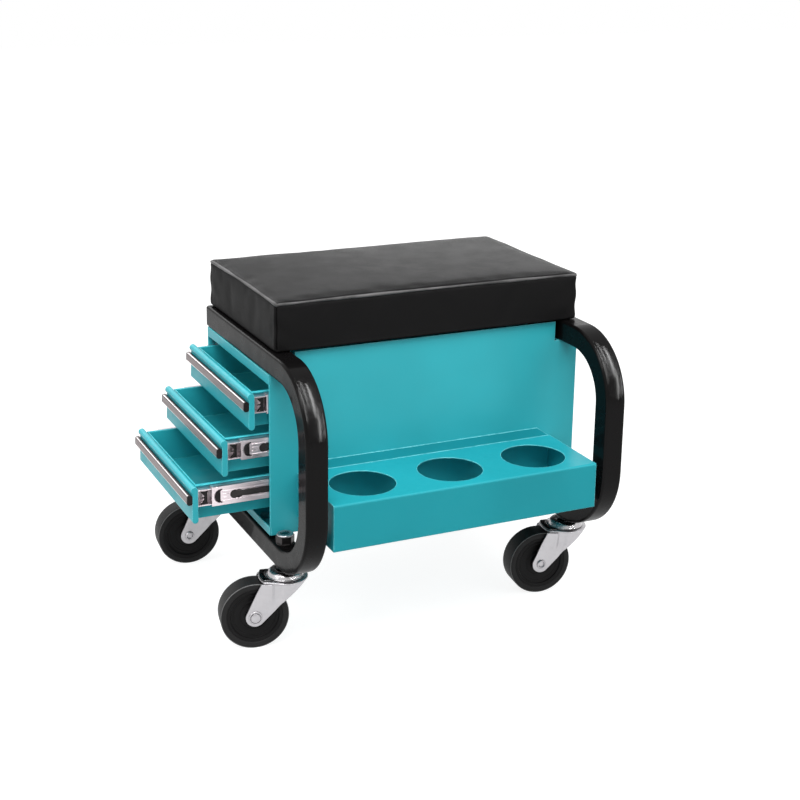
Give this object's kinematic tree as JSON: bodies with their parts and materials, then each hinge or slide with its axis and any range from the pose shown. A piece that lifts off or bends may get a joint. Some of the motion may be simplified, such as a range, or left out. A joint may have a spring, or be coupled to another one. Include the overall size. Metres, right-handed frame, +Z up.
{
  "type": "tool cart with creeper seat",
  "caption": "Rolling workshop seat: a padded top on two bent square tubes over a steel cabinet with drawers, a side tray with can holes and swivel casters.",
  "frame": {"origin": "on the floor under the middle of the whole part, with the drawers and casters as they stand at rest", "axes": "+X along the seat, away from the side where the drawers open; the can tray is on the -Y side; +Z up"},
  "size_m": [0.4874, 0.367, 0.3923],
  "materials": {
    "black_vinyl": "fine grained black vinyl with a soft sheen",
    "plywood": "bare plywood",
    "gloss_black_paint": "gloss black powder coat",
    "teal_paint": "smooth semi-gloss teal powder coat",
    "black_plastic": "matt black moulding",
    "black_rubber": "matt black rubber",
    "brushed_aluminium": "satin, brushed along the bar",
    "bright_zinc": "bright zinc plate",
    "bright_chrome": "bright polished plate",
    "wheel_plastic": "black moulded plastic with a low sheen",
    "black_tyre": "smooth black tread"
  },
  "bodies": {
    "frame": {"seat_cushion": "black_vinyl", "seat_board": "plywood", "seat_bolts": "bright_zinc", "hoop_left": "gloss_black_paint", "hoop_right": "gloss_black_paint", "hoop_end_plugs": "black_plastic", "front_panel": "teal_paint", "back_panel": "teal_paint", "end_panel": "teal_paint", "floor_panel": "teal_paint", "top_rail": "teal_paint", "floor_spacers": "black_rubber", "floor_bolts": "bright_zinc", "can_tray": "teal_paint", "tray_floor": "teal_paint", "slide_1_outer": "bright_zinc", "slide_2_outer": "bright_zinc", "slide_3_outer": "bright_zinc", "caster_stems": "bright_chrome", "caster_nuts": "bright_chrome", "swivel_domes": "bright_chrome", "swivel_balls": "bright_chrome"},
    "drawer_1": {"drawer_1_box": "teal_paint", "drawer_1_front": "teal_paint", "drawer_1_handle": "brushed_aluminium", "drawer_1_caps": "black_plastic", "slide_1_inner": "bright_zinc"},
    "slide_mid_1": {"slide_1_middle": "bright_zinc"},
    "drawer_2": {"drawer_2_box": "teal_paint", "drawer_2_front": "teal_paint", "drawer_2_handle": "brushed_aluminium", "drawer_2_caps": "black_plastic", "slide_2_inner": "bright_zinc"},
    "slide_mid_2": {"slide_2_middle": "bright_zinc"},
    "drawer_3": {"drawer_3_box": "teal_paint", "drawer_3_front": "teal_paint", "drawer_3_handle": "brushed_aluminium", "drawer_3_caps": "black_plastic", "slide_3_inner": "bright_zinc"},
    "slide_mid_3": {"slide_3_middle": "bright_zinc"},
    "caster_fl": {"fork_fl": "bright_zinc", "axle_fl": "bright_zinc"},
    "wheel_fl": {"wheel_fl": "wheel_plastic", "tyre_fl": "black_tyre"},
    "caster_fr": {"fork_fr": "bright_zinc", "axle_fr": "bright_zinc"},
    "wheel_fr": {"wheel_fr": "wheel_plastic", "tyre_fr": "black_tyre"},
    "caster_rl": {"fork_rl": "bright_zinc", "axle_rl": "bright_zinc"},
    "wheel_rl": {"wheel_rl": "wheel_plastic", "tyre_rl": "black_tyre"},
    "caster_rr": {"fork_rr": "bright_zinc", "axle_rr": "bright_zinc"},
    "wheel_rr": {"wheel_rr": "wheel_plastic", "tyre_rr": "black_tyre"}
  },
  "joints": [
    {"name": "drawer_1_slide", "type": "slide", "parent": "frame", "child": "drawer_1", "axis": [-1, 0, 0], "range_m": [-0.089, 0.211]},
    {"name": "slide_mid_1_slide", "type": "slide", "parent": "frame", "child": "slide_mid_1", "axis": [-1, 0, 0], "range_m": [-0.07655, 0.18147]},
    {"name": "drawer_2_slide", "type": "slide", "parent": "frame", "child": "drawer_2", "axis": [-1, 0, 0], "range_m": [-0.055, 0.245]},
    {"name": "slide_mid_2_slide", "type": "slide", "parent": "frame", "child": "slide_mid_2", "axis": [-1, 0, 0], "range_m": [-0.04291, 0.19111]},
    {"name": "drawer_3_slide", "type": "slide", "parent": "frame", "child": "drawer_3", "axis": [-1, 0, 0], "range_m": [-0.024, 0.276]},
    {"name": "slide_mid_3_slide", "type": "slide", "parent": "frame", "child": "slide_mid_3", "axis": [-1, 0, 0], "range_m": [-0.01321, 0.15181]},
    {"name": "swivel_fl", "type": "hinge", "parent": "frame", "child": "caster_fl", "pos_m": [-0.13833, -0.08847, 0.078], "axis": [0, 0, 1], "continuous": true},
    {"name": "spin_fl", "type": "hinge", "parent": "caster_fl", "child": "wheel_fl", "pos_m": [-0.17366, -0.0816, 0.038], "axis": [0.1908, 0.9816, 0], "continuous": true},
    {"name": "swivel_fr", "type": "hinge", "parent": "frame", "child": "caster_fr", "pos_m": [0.22068, -0.08847, 0.078], "axis": [0, 0, 1], "continuous": true},
    {"name": "spin_fr", "type": "hinge", "parent": "caster_fr", "child": "wheel_fr", "pos_m": [0.18494, -0.08408, 0.038], "axis": [0.1219, 0.9925, 0], "continuous": true},
    {"name": "swivel_rl", "type": "hinge", "parent": "frame", "child": "caster_rl", "pos_m": [-0.13833, 0.15753, 0.078], "axis": [0, 0, 1], "continuous": true},
    {"name": "spin_rl", "type": "hinge", "parent": "caster_rl", "child": "wheel_rl", "pos_m": [-0.17419, 0.16067, 0.038], "axis": [0.0872, 0.9962, 0], "continuous": true},
    {"name": "swivel_rr", "type": "hinge", "parent": "frame", "child": "caster_rr", "pos_m": [0.22068, 0.15753, 0.078], "axis": [0, 0, 1], "continuous": true},
    {"name": "spin_rr", "type": "hinge", "parent": "caster_rr", "child": "wheel_rr", "pos_m": [0.18522, 0.16378, 0.038], "axis": [0.1736, 0.9848, 0], "continuous": true}
  ],
  "couplings": [
    {"joint": "slide_mid_1_slide", "follows": "drawer_1_slide", "ratio": 0.86},
    {"joint": "slide_mid_2_slide", "follows": "drawer_2_slide", "ratio": 0.78},
    {"joint": "slide_mid_3_slide", "follows": "drawer_3_slide", "ratio": 0.55}
  ]
}
